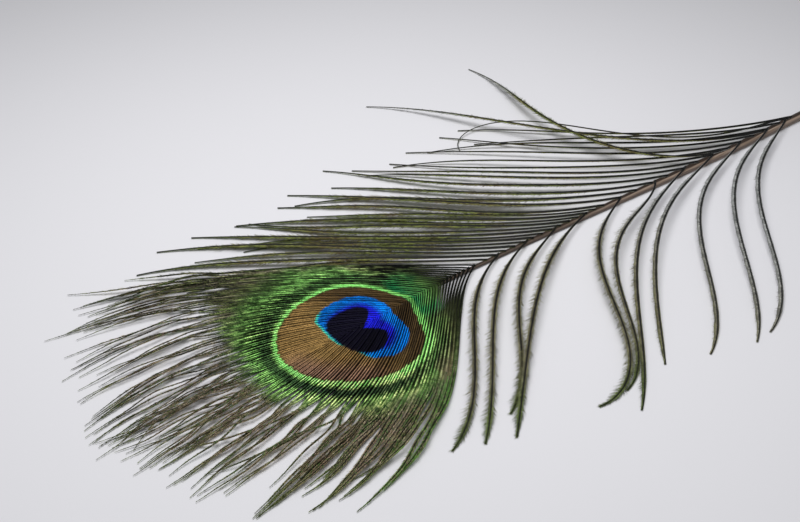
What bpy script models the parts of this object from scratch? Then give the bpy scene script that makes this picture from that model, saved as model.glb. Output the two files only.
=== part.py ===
"""A peacock's eye feather, lying flat with the side that shows its colours up.

The feather grew as one piece, so it is one solid: the shaft, the close web round the eye, and the loose
barbs gathered into locks that reach the barbs' tips. +X points along the shaft to the cut end of the quill,
+Z is up, and the origin is on the flat underside of the web, below the middle of the eye.
"""

import math

import bmesh
import bpy
from mathutils import Matrix

MM = 0.001

# Driving dimensions of the feather.
BRONZE_DISC_DIAMETER = 38 * MM
WEB_LENGTH = 80 * MM
WEB_HALF_WIDTH = 1.45 * BRONZE_DISC_DIAMETER / 2
WEB_THICKNESS = 0.8 * MM
WEB_WIDEST_X = -5 * MM
WEB_FRONT_LENGTH = 28 * MM
WEB_NECK_HALF_WIDTH = 0.6 * MM
WEB_OUTLINE_STEPS = 18

# The shaft, from its cut end to its fine tip inside the eye: x, y, width and the height of its underside.
SHAFT_STATIONS = (
    (232, -3.2, 3.1, 0.0),
    (194, -4.1, 2.9, 0.0),
    (165, -3.8, 2.75, 0.0),
    (150, -3.5, 2.7, 0.0),
    (120, -2.0, 2.4, 0.0),
    (100, -1.1, 2.1, 0.0),
    (80, -0.2, 1.8, 0.0),
    (58, 0.9, 1.4, 0.05),
    (42, 1.35, 1.1, 0.2),
    (24, 1.75, 0.9, 0.2),
    (8, 1.1, 0.8, 0.2),
    (-10, 0.5, 0.6, 0.2),
)
SHAFT_HEIGHT_TO_WIDTH = 0.9

# How the barbs leave the shaft and bend towards the tip: where they root, four angles away from the tip's
# direction that steer them from root to end, and the length. On the near side the barbs past the eye stand
# apart, one at each station.
NEAR_STATIONS = (
    (-8, 8, 4, 1, -1, 56),
    (2, 22, 12, 2, 6, 64),
    (12, 40, 24, 6, 8, 74),
    (20, 48, 36, 12, 8, 82),
    (30, 47, 44, 34, 2, 84),
    (41, 27, 70, 35, -7, 91),
    (51, 21, 46, 71, 18, 76.5),
    (62, 18, 41, 59, 37, 81),
    (73, 23, 13, 89, 21, 79),
    (85, 15, 35, 44, 40, 95),
    (100, 23, 18, 126, -15, 95),
    (115, 40, -36, 130, 10, 98),
    (129, 17, 15, 69, 33, 114),
    (142, 17, 9, 55, 44, 107),
    (156, 19, 1, 90, 20, 111),
    (171, 19, 7, 82, 27, 115),
    (181, 22, 5, 92, 11, 118),
)
FAR_STATIONS = (
    (-8, 6, 3, -3, -7, 58),
    (2, 24, 14, -2, -14, 68),
    (12, 42, 28, 2, -10, 80),
    (20, 47, 36, 14, 4, 90),
    (30, 46.5, 38, 26, 8, 97),
    (40, 40, 40, 32, 10, 99),
    (50, 32, 42, 38, 20, 100),
    (62, 28, 42, 44, 30, 100),
    (80, 23.5, 44, 50, 36, 100),
    (110, 20, 40, 56, 38, 104),
    (150, 18, 34, 58, 38, 110),
    (184, 17, 30, 56, 34, 112),
)
# Barbs of the far side that stray from their neighbours.
STRAY_STATIONS = (
    (150, 0, 65, 149, 84, 122),
    (168, 12, 35, 100, 43, 142),
    (182, 18, -43, 210, -72, 131),
)

# The locks: how many root on each side of the eye and where the last of them does, and how many follow on
# the far side of the shaft.
NEAR_EYE_LOCKS = 22
FAR_EYE_LOCKS = 23
EYE_LOCKS_START_X = -9 * MM
NEAR_EYE_LOCKS_END_X = 43 * MM
FAR_EYE_LOCKS_END_X = 45 * MM
FAR_LOOSE_LOCKS = 20
FAR_LOOSE_LOCKS_END_X = 186 * MM
EYE_LOCK_HALF_WIDTH = 1.3 * MM
LOOSE_LOCK_HALF_WIDTH = 0.95 * MM
LOCK_HALF_THICKNESS = 0.42 * MM
LOCK_TIP_SHARE = 0.4
EYE_LOCK_STEPS = 9
LOOSE_LOCK_STEPS = 11
LOCK_HEIGHT_IN_WEB = 0.64 * MM
LOCK_TIP_HEIGHT = 0.3 * MM
EYE_LOCK_LIFT = 1.7 * MM
LOOSE_LOCK_LIFT = 3.4 * MM
FAR_LOOSE_LOCK_LIFT = 1.8 * MM

BRONZE_GREEN = (0.09, 0.10, 0.04, 1.0)


def clear_scene():
    for obj in list(bpy.data.objects):
        bpy.data.objects.remove(obj, do_unlink=True)


def between(stations, x, column):
    """The value in that column at x, eased between the two stations on either side of x."""
    rows = sorted(stations)
    if x <= rows[0][0]:
        return rows[0][column]
    for low, high in zip(rows, rows[1:]):
        if x <= high[0]:
            share = (x - low[0]) / (high[0] - low[0])
            return low[column] + (high[column] - low[column]) * share
    return rows[-1][column]


def shaft_y(x):
    return between(SHAFT_STATIONS, x / MM, 1) * MM


def shaft_top(x):
    width = between(SHAFT_STATIONS, x / MM, 2)
    return (between(SHAFT_STATIONS, x / MM, 3) + width * SHAFT_HEIGHT_TO_WIDTH) * MM


def web_half_width(x):
    """The web is half an ellipse towards the tip, and narrows in a long curve towards the quill."""
    if x < WEB_WIDEST_X:
        along = min(1.0, (WEB_WIDEST_X - x) / WEB_FRONT_LENGTH)
        return WEB_HALF_WIDTH * math.sqrt(1 - along * along)
    along = (x - WEB_WIDEST_X) / (WEB_LENGTH - WEB_FRONT_LENGTH)
    swell = 0.5 + 0.5 * math.cos(math.pi * min(1.0, along))
    return WEB_NECK_HALF_WIDTH + (WEB_HALF_WIDTH - WEB_NECK_HALF_WIDTH) * swell


def web_outline():
    """Points round the web, evenly spaced in angle on its front and in length on its neck."""
    front, back = WEB_WIDEST_X - WEB_FRONT_LENGTH, WEB_WIDEST_X + WEB_LENGTH - WEB_FRONT_LENGTH
    side = []
    for step in range(WEB_OUTLINE_STEPS + 1):
        turn = 0.5 * math.pi * step / WEB_OUTLINE_STEPS
        side.append(WEB_WIDEST_X - WEB_FRONT_LENGTH * math.cos(turn))
    for step in range(1, WEB_OUTLINE_STEPS + 1):
        side.append(WEB_WIDEST_X + (back - WEB_WIDEST_X) * step / WEB_OUTLINE_STEPS)
    far = [(x, shaft_y(x) + web_half_width(x)) for x in side]
    near = [(x, shaft_y(x) - web_half_width(x)) for x in reversed(side) if x > front]
    return far + near


def in_web(x, y, room):
    front, back = WEB_WIDEST_X - WEB_FRONT_LENGTH, WEB_WIDEST_X + WEB_LENGTH - WEB_FRONT_LENGTH
    return front - room < x < back and abs(y - shaft_y(x)) < web_half_width(x) + room


def barb_angle(steering, share):
    """The barb's angle away from the tip's direction, a smooth blend of the four that steer it."""
    first, second, third, last = steering
    rest = 1 - share
    bend = rest**3 * first + 3 * rest * rest * share * second + 3 * rest * share * share * third
    return math.radians(bend + share**3 * last)


def lock_path(side, root_x, steering, length, lift, steps):
    """Points along a lock, from the shaft to its tip, each with its height above the table."""
    x, y = root_x, shaft_y(root_x)
    flat, leaves_web = [(x, y)], 0
    for k in range(1, steps + 1):
        angle = barb_angle(steering, (k - 0.5) / steps)
        x -= length / steps * math.cos(angle)
        y += side * length / steps * math.sin(angle)
        flat.append((x, y))
        if in_web(x, y, 1.0 * MM):
            leaves_web = k
    start = LOCK_HEIGHT_IN_WEB if leaves_web else 0.5 * shaft_top(root_x)
    points = []
    for k, (x, y) in enumerate(flat):
        share = max(0.0, (k - leaves_web) / (steps - leaves_web))
        height = start + (LOCK_TIP_HEIGHT - start) * share + lift * math.sin(math.pi * share) ** 1.5
        points.append((x, y, height))
    return points


def eye_locks(side, stations, count, end_x):
    """The locks that spring from the shaft inside and just behind the eye, close together."""
    for k in range(count):
        root_x = EYE_LOCKS_START_X + (end_x - EYE_LOCKS_START_X) * (k + 0.5) / count
        steering = [between(stations, root_x / MM, column) for column in (1, 2, 3, 4)]
        steering[3] += 7 * math.sin(1.9 * k + side)
        length = between(stations, root_x / MM, 5) * (1 + 0.05 * math.sin(2.4 * k + side)) * MM
        lift = EYE_LOCK_LIFT * (1 + 0.35 * math.sin(3.1 * k))
        yield lock_path(side, root_x, steering, length, lift, EYE_LOCK_STEPS)


def loose_locks():
    """The single barbs behind the eye: those of the near side, of the far side, and the strays."""
    for k, (root_x, *steering, length) in enumerate(NEAR_STATIONS):
        if root_x * MM > NEAR_EYE_LOCKS_END_X:
            lift = LOOSE_LOCK_LIFT * (1 + 0.3 * math.sin(3.1 * k))
            yield lock_path(-1, root_x * MM, steering, length * MM, lift, LOOSE_LOCK_STEPS)
    gap = FAR_LOOSE_LOCKS_END_X - FAR_EYE_LOCKS_END_X
    for k in range(FAR_LOOSE_LOCKS):
        root_x = FAR_EYE_LOCKS_END_X + gap * (k + 0.7) / FAR_LOOSE_LOCKS
        steering = [between(FAR_STATIONS, root_x / MM, column) for column in (1, 2, 3, 4)]
        steering[2] += 6 * math.sin(1.3 * k)
        steering[3] += 9 * math.sin(2.1 * k)
        length = between(FAR_STATIONS, root_x / MM, 5) * (1 + 0.05 * math.sin(2.7 * k)) * MM
        lift = FAR_LOOSE_LOCK_LIFT * (1 + 0.3 * math.sin(1.9 * k))
        yield lock_path(1, root_x, steering, length, lift, LOOSE_LOCK_STEPS)
    for k, (root_x, *steering, length) in enumerate(STRAY_STATIONS):
        lift = LOOSE_LOCK_LIFT * (1.2 + 0.1 * k)
        yield lock_path(1, root_x * MM, steering, length * MM, lift, LOOSE_LOCK_STEPS)


def section(name, outline):
    """A closed cross-section for a curve to carry along its length."""
    data = bpy.data.curves.new(name, "CURVE")
    data.dimensions = "2D"
    spline = data.splines.new("POLY")
    spline.points.add(len(outline) - 1)
    spline.use_cyclic_u = True
    for point, (x, y) in zip(spline.points, outline):
        point.co = (x, y, 0, 1)
    obj = bpy.data.objects.new(name, data)
    guides.objects.link(obj)
    obj.hide_render = True
    obj.display_type = "WIRE"
    return obj


def swept(name, profile, points, radii):
    """A mesh made by carrying a section along a line, its size set at each point, with closed ends."""
    data = bpy.data.curves.new(name, "CURVE")
    data.dimensions = "3D"
    data.twist_mode = "Z_UP"
    data.bevel_mode = "OBJECT"
    data.bevel_object = profile
    data.use_fill_caps = True
    spline = data.splines.new("POLY")
    spline.points.add(len(points) - 1)
    for point, co, radius in zip(spline.points, points, radii):
        point.co = (*co, 1)
        point.radius = radius
    return as_mesh(name, data)


def as_mesh(name, curve_data):
    """The curve's evaluated shape as a closed mesh object, its caps joined to its sides."""
    curve = bpy.data.objects.new(name + "_curve", curve_data)
    pieces.objects.link(curve)
    bpy.context.view_layer.update()
    graph = bpy.context.evaluated_depsgraph_get()
    mesh = bpy.data.meshes.new_from_object(curve.evaluated_get(graph))
    mesh.name = name
    bpy.data.objects.remove(curve, do_unlink=True)
    shape = bmesh.new()
    shape.from_mesh(mesh)
    bmesh.ops.remove_doubles(shape, verts=shape.verts, dist=0.002 * MM)
    bmesh.ops.recalc_face_normals(shape, faces=shape.faces)
    shape.to_mesh(mesh)
    shape.free()
    obj = bpy.data.objects.new(name, mesh)
    pieces.objects.link(obj)
    return obj


def make_shaft():
    """The shaft: flat below, rounded above, tapering from the quill to the eye."""
    outline = [(-0.5, -0.5), (0.5, -0.5), (0.5, 0.05), (0.32, 0.38), (0.0, 0.5), (-0.32, 0.38), (-0.5, 0.05)]
    profile = section("shaft_section", [(x * MM, y * SHAFT_HEIGHT_TO_WIDTH * MM) for x, y in outline])
    points, radii = [], []
    for x, y, width, underside in SHAFT_STATIONS:
        points.append((x * MM, y * MM, (underside + 0.5 * width * SHAFT_HEIGHT_TO_WIDTH) * MM))
        radii.append(width)
    return swept("shaft", profile, points, radii)


def make_web():
    """The close web round the eye, a thin flat plate."""
    data = bpy.data.curves.new("web", "CURVE")
    data.dimensions = "2D"
    data.fill_mode = "BOTH"
    data.extrude = WEB_THICKNESS / 2
    outline = web_outline()
    spline = data.splines.new("POLY")
    spline.points.add(len(outline) - 1)
    spline.use_cyclic_u = True
    for point, (x, y) in zip(spline.points, outline):
        point.co = (x, y, 0, 1)
    web = as_mesh("web", data)
    web.data.transform(Matrix.Translation((0, 0, WEB_THICKNESS / 2)))
    return web


def lock_swell(count):
    """The lock's size at each of its points: slimmer at the shaft, and narrowing over its last third."""
    swell = []
    for k in range(count):
        share = k / (count - 1)
        narrow = max(0.0, (share - 0.65) / 0.35)
        swell.append(min(1.0, 0.7 + 1.2 * share) - (1 - LOCK_TIP_SHARE) * narrow**1.5)
    return swell


def make_locks():
    """The locks of barbs on both sides of the shaft, each a ridged ribbon that narrows to its tip."""
    near_eye = eye_locks(-1, NEAR_STATIONS, NEAR_EYE_LOCKS, NEAR_EYE_LOCKS_END_X)
    far_eye = eye_locks(1, FAR_STATIONS, FAR_EYE_LOCKS, FAR_EYE_LOCKS_END_X)
    groups = (
        ("eye", EYE_LOCK_HALF_WIDTH, [*near_eye, *far_eye]),
        ("loose", LOOSE_LOCK_HALF_WIDTH, list(loose_locks())),
    )
    made = []
    for name, wide, paths in groups:
        thin = LOCK_HALF_THICKNESS
        profile = section(name + "_lock_section", [(-wide, 0), (0, -thin), (wide, 0), (0, thin)])
        for number, points in enumerate(paths):
            made.append(swept(f"{name}_lock_{number}", profile, points, lock_swell(len(points))))
    return made


def fuse(base, others):
    """Joins the others to the base, as one closed skin."""
    for other in others:
        join = base.modifiers.new("join", "BOOLEAN")
        join.operation = "UNION"
        join.solver = "EXACT"
        join.object = other
        bpy.context.view_layer.update()
        graph = bpy.context.evaluated_depsgraph_get()
        joined = bpy.data.meshes.new_from_object(base.evaluated_get(graph))
        base.modifiers.clear()
        base.data = joined
        bpy.data.objects.remove(other, do_unlink=True)


def close_pockets(obj):
    """Where locks meet all round a small hollow, the hollow is filled: only the outer skin is kept."""
    shape = bmesh.new()
    shape.from_mesh(obj.data)
    left, skins = set(shape.verts), []
    while left:
        skin, edge = set(), [left.pop()]
        while edge:
            vert = edge.pop()
            skin.add(vert)
            for other in (link.other_vert(vert) for link in vert.link_edges):
                if other in left:
                    left.remove(other)
                    edge.append(other)
        skins.append(skin)
    skins.sort(key=len)
    for skin in skins[:-1]:
        bmesh.ops.delete(shape, geom=list(skin), context="VERTS")
    shape.to_mesh(obj.data)
    shape.free()


clear_scene()
pieces = bpy.data.collections.new("peacock_feather")
guides = bpy.data.collections.new("guides")
bpy.context.scene.collection.children.link(pieces)
bpy.context.scene.collection.children.link(guides)

feather = make_shaft()
feather.name = "feather"
fuse(feather, [make_web(), *make_locks()])
close_pockets(feather)

material = bpy.data.materials.new("bronze_green_barbs")
material.use_nodes = True
surface = material.node_tree.nodes["Principled BSDF"]
surface.inputs["Base Color"].default_value = BRONZE_GREEN
surface.inputs["Roughness"].default_value = 0.45
surface.inputs["Metallic"].default_value = 0.2
feather.data.materials.clear()
feather.data.materials.append(material)
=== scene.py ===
import math
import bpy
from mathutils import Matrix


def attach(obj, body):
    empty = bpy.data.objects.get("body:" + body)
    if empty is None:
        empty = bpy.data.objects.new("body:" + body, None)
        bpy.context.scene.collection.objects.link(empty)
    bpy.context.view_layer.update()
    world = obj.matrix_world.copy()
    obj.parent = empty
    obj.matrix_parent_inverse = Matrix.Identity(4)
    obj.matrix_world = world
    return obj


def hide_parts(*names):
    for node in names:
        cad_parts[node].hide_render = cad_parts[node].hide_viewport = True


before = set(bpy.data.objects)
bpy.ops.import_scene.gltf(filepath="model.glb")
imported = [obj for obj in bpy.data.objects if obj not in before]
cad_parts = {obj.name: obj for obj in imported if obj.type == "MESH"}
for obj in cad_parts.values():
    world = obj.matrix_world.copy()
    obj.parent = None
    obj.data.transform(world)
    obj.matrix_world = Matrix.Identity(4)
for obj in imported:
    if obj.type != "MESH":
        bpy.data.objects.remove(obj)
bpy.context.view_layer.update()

from types import SimpleNamespace

import bpy
import numpy as np
from mathutils import Vector

bpy.ops.object.select_all(action="DESELECT")

mm = 0.001
dice = np.random.default_rng(41)

# the plume is worked out in mm: +X runs to the quill's cut end, the eye's middle is at 0, 0
# along the shaft: x, y, width, height of the underside
shaftLine = np.array([
    (-10, 0.5, 0.6, 0.35), (-5, 0.5, 0.7, 0.3), (8, 1.1, 0.8, 0.25), (24, 1.75, 0.9, 0.2),
    (42, 1.35, 1.1, 0.2), (58, 0.9, 1.4, 0.05), (80, -0.2, 1.8, 0), (100, -1.1, 2.1, 0),
    (120, -2.0, 2.4, 0), (150, -3.5, 2.7, 0), (165, -3.8, 2.75, 0), (194, -4.1, 2.9, 0), (232, -3.2, 3.1, 0)])
shaftColumns = ("x", "y", "width", "under")
shaftHeight = 0.9  # as a share of its width

# where a barb roots, the four angles that steer it from root to end, and its length
nearBarbs = np.array([
    (-11, 1, 1, 0, -4, 57), (-8, 8, 4, 1, -1, 59), (2, 22, 12, 2, 6, 67), (12, 40, 24, 6, 8, 76),
    (20, 48, 36, 12, 8, 82), (30, 47, 44, 34, 2, 84), (41, 27, 70, 35, -7, 91), (51, 21, 46, 71, 18, 76.5),
    (62, 18, 41, 59, 37, 81), (73, 23, 13, 89, 21, 79), (85, 15, 35, 44, 40, 95), (100, 23, 18, 126, -15, 95),
    (115, 40, -36, 130, 10, 98), (129, 17, 15, 69, 33, 114), (142, 17, 9, 55, 44, 107),
    (156, 19, 1, 90, 20, 111), (171, 19, 7, 82, 27, 115), (181, 22, 5, 92, 11, 118)], float)
farBarbs = np.array([
    (-11, 0, 0, -2, -6, 59), (-8, 6, 3, -3, -7, 62), (2, 24, 14, -2, -14, 73), (12, 42, 30, 4, -8, 86),
    (20, 47, 38, 18, 6, 96), (30, 46.5, 39, 27, 9, 101), (40, 40, 40, 32, 10, 99), (50, 32, 42, 38, 20, 100),
    (62, 28, 42, 44, 30, 100), (80, 23.5, 44, 50, 36, 100), (110, 20, 40, 56, 38, 104),
    (150, 18, 34, 58, 38, 110), (184, 17, 30, 56, 34, 112)], float)
strayBarbs = np.array([
    (150, 0, 65, 149, 84, 122), (168, 12, 35, 100, 43, 142), (182, 18, -43, 210, -72, 131)], float)

# how far from the eye's middle the web stays closed, by direction: degrees, mm
webEdge = np.array([
    (-180, 23), (-165, 22.5), (-140, 23), (-120, 25), (-100, 25), (-80, 25), (-20, 26), (0, 28), (12, 33),
    (25, 36), (45, 38), (65, 40), (90, 41), (125, 38), (145, 33), (165, 27), (180, 23)])


def shaftAt(x, what):
    return np.interp(x, shaftLine[:, 0], shaftLine[:, shaftColumns.index(what)])


def shaftTop(x):
    return shaftAt(x, "under") + shaftHeight * shaftAt(x, "width")


def stationAt(stations, roots):
    return np.stack([np.interp(roots, stations[:, 0], stations[:, c]) for c in range(1, 6)], -1)


def smoothStep(low, high, value):
    share = np.clip((value - low) / (high - low), 0, 1)
    return share * share * (3 - 2 * share)


def pastWeb(x, y):
    around = np.degrees(np.arctan2(y, x))
    return np.hypot(x, y) - np.interp(around, webEdge[:, 0], webEdge[:, 1])


def flatRuns(side, roots, steering, lengths, steps):
    # each barb's line on the table, bending as its four angles say
    share = (np.arange(steps) + 0.5) / steps
    rest = 1 - share
    s = steering[:, :, None]
    bend = s[:, 0] * rest**3 + 3 * s[:, 1] * rest**2 * share + 3 * s[:, 2] * rest * share**2
    bend = np.radians(bend + s[:, 3] * share**3)
    step = (lengths / steps)[:, None]
    x = roots[:, None] - np.cumsum(step * np.cos(bend), 1)
    y = shaftAt(roots, "y")[:, None] + side * np.cumsum(step * np.sin(bend), 1)
    start = np.stack([roots, shaftAt(roots, "y")], -1)[:, None]
    return np.concatenate([start, np.stack([x, y], -1)], 1)


def unit(vectors):
    return vectors / np.linalg.norm(vectors, axis=-1, keepdims=True)


def acrossFlat(lines):
    # the direction to the left at every point of lines on the table
    travel = unit(np.gradient(lines, axis=1))
    return np.stack([-travel[..., 1], travel[..., 0]], -1)


def frameOf(runs):
    # travel, left and up directions at every point of every barb
    travel = unit(np.gradient(runs, axis=1))
    left = unit(np.cross((0, 0, 1), travel))
    return travel, left, np.cross(travel, left)


def lengthAlong(runs):
    steps = np.linalg.norm(np.diff(runs, axis=1), axis=2)
    return np.concatenate([np.zeros((len(runs), 1)), np.cumsum(steps, 1)], 1)


def fill(data, label, values, kind=np.float32):
    data.foreach_set(label, values.astype(kind).ravel())


# thousands of thin barbs are joined meshes made from arrays; each point knows how far along its barb it is,
# how far from the barb's stem, the barb's tone, and its place on the strand

def meshPiece(name, chunks):
    # chunks are (points, faces, values, strand place) with faces counted from their own chunk
    points = np.concatenate([c[0] for c in chunks]) * mm
    values = np.concatenate([c[2] for c in chunks])
    strand = np.concatenate([c[3] for c in chunks])
    faces, start = [], 0
    for chunk in chunks:
        faces += [f + start for f in chunk[1]]
        start += len(chunk[0])
    corners = np.concatenate([f.ravel() for f in faces])
    sizes = np.concatenate([np.full(len(f), f.shape[1]) for f in faces])
    mesh = bpy.data.meshes.new(name)
    mesh.vertices.add(len(points))
    fill(mesh.vertices, "co", points)
    mesh.loops.add(len(corners))
    fill(mesh.loops, "vertex_index", corners, np.int32)
    mesh.polygons.add(len(sizes))
    fill(mesh.polygons, "loop_start", np.cumsum(sizes) - sizes, np.int32)
    mesh.update(calc_edges=True)
    fill(mesh.polygons, "use_smooth", np.ones(len(sizes)), bool)
    for label, column in zip(("reach", "edge", "tone"), values.T):
        fill(mesh.attributes.new(label, "FLOAT", "POINT").data, "value", column)
    fill(mesh.attributes.new("strand", "FLOAT_VECTOR", "POINT").data, "vector", strand)
    piece = bpy.data.objects.new(name, mesh)
    bpy.context.scene.collection.objects.link(piece)
    print(name, sum(len(f) * (f.shape[1] - 2) for f in faces), "triangles")
    return piece


def together(*values):
    # three numbers for every point
    return np.stack(np.broadcast_arrays(*values), -1).reshape(-1, 3)


ribbon = {
    "ridge": 1.2,  # height of the barb's stem above its vane, in its own half widths
    "keel": 0.8,  # and depth below it
    "keelMore": 0.02,  # mm that the thinnest one still has
    "vaneDroop": 0.3,
    "stemEdge": 0.15,
    "keelEdge": 0.6,
    "apart": 3.7,  # keeps the pattern of one strand off the next
}


def ribbonChunk(plan):
    # a flat vane with its ramus standing along the middle, one closed strip for each barb
    look, runs = ribbon, plan["runs"]
    count, length = runs.shape[:2]
    left, up = frameOf(runs)[1:]
    ramus, onRight, onLeft = plan["ramus"], plan["rightVane"], plan["leftVane"]
    none, droop = np.zeros_like(ramus), -look["vaneDroop"]
    across = np.stack([-ramus - onRight, -ramus, none, ramus, ramus + onLeft, none], 2)
    height = np.stack([droop * onRight, none, look["ridge"] * ramus, none, droop * onLeft,
                       -look["keel"] * ramus - look["keelMore"]], 2)
    height = height + across * plan["tilt"]
    ring = runs[:, :, None] + left[:, :, None] * across[..., None] + up[:, :, None] * height[..., None]
    around = across.shape[2]
    corner = np.arange(around)
    turned = (corner + 1) % around
    base = (np.arange(count)[:, None] * length + np.arange(length - 1))[..., None] * around
    quads = np.stack([base + corner, base + around + corner, base + around + turned, base + turned], -1)
    first = (np.arange(count) * length * around)[:, None]
    last = first + (length - 1) * around
    ends = np.concatenate([first + corner, last + corner[::-1]])
    reach = np.linspace(0, 1, length)[None, :, None]
    edge = np.array([1.0, look["stemEdge"], 0.0, look["stemEdge"], 1.0, look["keelEdge"]])
    values = together(reach, edge, plan["tone"][:, None, None])
    strand = together(lengthAlong(runs)[..., None], plan["number"][:, None, None] * look["apart"], across)
    return ring.reshape(-1, 3), [quads.reshape(-1, 4), ends], values, strand


def bladeTemplate():
    # one barbule, modelled once: a slim three-sided blade, root at the origin, tip at X = 1
    bpy.ops.object.select_all(action="DESELECT")
    bpy.ops.mesh.primitive_cone_add(vertices=3, radius1=0.5, depth=1, end_fill_type="NGON",
                                    location=(0, 0, 0.5))
    blade = bpy.context.object
    bpy.ops.object.mode_set(mode="EDIT")
    bpy.ops.mesh.select_all(action="SELECT")
    bpy.ops.transform.rotate(value=math.radians(-90), orient_axis="Y", center_override=(0, 0, 0))
    bpy.ops.mesh.quads_convert_to_tris()
    bpy.ops.object.mode_set(mode="OBJECT")
    place = blade.matrix_world
    points = np.array([place @ v.co for v in blade.data.vertices])
    faces = np.array([list(p.vertices) for p in blade.data.polygons])
    if abs(points[:, 0].min()) > 0.5:
        points = points * (-1, -1, 1)  # half a turn about Z, so the blade points along +X
    bpy.data.objects.remove(blade)
    return points, faces


bladePoints, bladeFaces = bladeTemplate()

barbules = {
    "thickness": 0.4,  # as a share of the blade's width
    "aboveTable": 0.03,
    "rootEdge": 0.2,  # where a blade starts on the way from the stem to the vane's edge
    "slant": 0.7,  # how much the pattern runs on along a blade
    "waves": ((2.7, 1), (1.1, 0.7), (6.3, 0.8)),  # mm along the barb, and how strong
    "clumpTurn": 26,  # degrees that long barbules stand off further
    "shortest": 0.08,
}


def bladeChunk(roots, along, upward, lengths, widths, reach, tone, strand, hands):
    # the blade set at every root, pointing along, its flat side to upward
    look, p = barbules, bladePoints
    across = unit(np.cross(upward, along))
    lift = np.cross(along, across)
    points = (roots[:, None] + along[:, None] * (p[None, :, :1] * lengths[:, None, None])
              + across[:, None] * (p[None, :, 1:2] * widths[:, None, None])
              + lift[:, None] * (p[None, :, 2:3] * widths[:, None, None] * look["thickness"]))
    faces = (np.arange(len(roots)) * len(p))[:, None, None] + bladeFaces[None]
    points[..., 2] = np.maximum(points[..., 2], look["aboveTable"])
    edge = p[None, :, 0] * (1 - look["rootEdge"]) + look["rootEdge"]
    values = together(reach[:, None], edge, tone[:, None])
    places = np.repeat(strand[:, None], len(p), 1)
    places[..., 0] += p[None, :, 0] * lengths[:, None] * look["slant"]
    places[..., 2] += p[None, :, 0] * lengths[:, None] * look["slant"] * hands[:, None]
    return points.reshape(-1, 3), [faces.reshape(-1, 3)], values, places.reshape(-1, 3)


def fringe(plan, spacing, clumping, shape):
    # barbules along both sides of every barb; shape(reach, barb, hand) gives length, width, angle, lift
    look, runs = barbules, plan["runs"]
    frames = (runs,) + frameOf(runs)
    gone = lengthAlong(runs)
    strengths = sum(strength for wave, strength in look["waves"])
    found = []
    for barb in range(len(runs)):
        for hand in (-1, 1):
            at = np.arange(spacing * dice.uniform(0.2, 1), gone[barb, -1] - 0.1, spacing)
            at = np.clip(at + dice.normal(0, 0.2 * spacing, len(at)), 0, gone[barb, -1] - 0.02)
            spot, travel, left, up = [
                np.stack([np.interp(at, gone[barb], v[barb, :, c]) for c in range(3)], -1) for v in frames]
            reach = at / gone[barb, -1]
            shifts = dice.uniform(0, math.tau, len(look["waves"]))
            clump = sum(strength * np.sin(at * math.tau / wave + shift)
                        for (wave, strength), shift in zip(look["waves"], shifts)) / strengths
            length, width, spread, lift = shape(reach, barb, hand)
            length = length * (1 + clumping * clump) * dice.uniform(0.75, 1.15, len(at))
            spread = spread + look["clumpTurn"] * clumping * clump + dice.normal(0, 5, len(at))
            spread = np.radians(spread)[:, None]
            lift = (lift + dice.normal(0, 0.07, len(at)))[:, None]
            direction = unit(travel * np.cos(spread) + hand * left * np.sin(spread) + up * lift)
            keep = length > look["shortest"]
            number = np.full(len(at), plan["number"][barb] * ribbon["apart"])
            strand = np.stack([at, number, np.zeros(len(at))], -1)
            row = (spot, direction, up, length, width * np.ones(len(at)), reach, dice.uniform(0, 1, len(at)),
                   strand, np.full(len(at), hand))
            found.append([v[keep] for v in row])
    return bladeChunk(*[np.concatenate(v) for v in zip(*found)])


def someOf(plan, first, last):
    # the plan of a few of the barbs
    return {k: v[first:last] if isinstance(v, np.ndarray) else v for k, v in plan.items()}


# the barbs round the eye: a closed web near the disc that opens outwards into locks; -1 is the near side
eyeVane = {
    "closeRoots": (-10.6, 25, 47),  # first, last and how many stand close together
    "openRoots": (0.85, 1.07, 13),  # then the first gap, what each gap grows by, and how many
    "steps": 46,
    "overlap": 1.1,  # how far a barb in the web reaches over its neighbours
    "widest": (0.3, 2.4),  # limits of the distance between neighbours that a vane fills
    "ramus": 0.155,  # half width of the barb's own stem, mm
    "strandVane": 0.22,  # half width of the closed part of a free barb's vane
    "backVane": 0.22,  # what the last barbs before the free ones have on top
    "backRoots": {-1: (17, 25), 1: (24, 34)},
    "webHeight": 0.55,
    "strandRise": 0.65,
    "opening": (3.5, -3.0),  # mm past the web's edge over which it opens
    "raggedEdge": 1.4,
    "nearReach": 6,  # how much further the last near barbs stay closed
    "cut": (0.8, 1.02, 1.02),  # shortest, usual and longest share of a barb's length
    "gather": 0.95,  # how strongly barbs draw together into locks
    "gatherOver": 17,
    "turnOver": 16,
    "farGather": 0.8,
    "locks": {-1: (16, -9, 43), 1: (20, -9, 45)},  # how many, and where the first and last root
    "lockFan": 7,  # degrees a lock turns from its neighbours
    "pairing": 0.28,  # how far two neighbouring locks meet
    "mixing": 0.3,  # how often a barb lies in its neighbour's lock
    "sway": 0.9,
    "swayOver": 14,
    "swayTurns": (8, 15),
    "rippleTurns": (22, 40),
    "rebels": 0.13,  # share of barbs that curl away
    "restless": 6,  # degrees that a barb's end turns at random, and a rebel's
    "rebelTurn": 48,
    "barbuleSpacing": 0.25,
    "barbuleLength": 1.15,
    "backLength": 0.9,
    "barbuleWidth": 0.22,
    "barbuleAngle": (25, 16),  # on a free barb, and what the web adds
    "barbuleLift": (0.02, 0.10),
    "clumping": 0.35,  # how unevenly long the barbules are along a barb
}


def shortened(lines, cut):
    # the same lines, each ending after its own share of the way
    steps = lines.shape[1] - 1
    at = np.linspace(0, steps, steps + 1)[None] * cut
    low = np.minimum(at.astype(int), steps - 1)
    row = np.arange(len(lines))[:, None]
    return lines[row, low] + (lines[row, low + 1] - lines[row, low]) * (at - low)[..., None]


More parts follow.
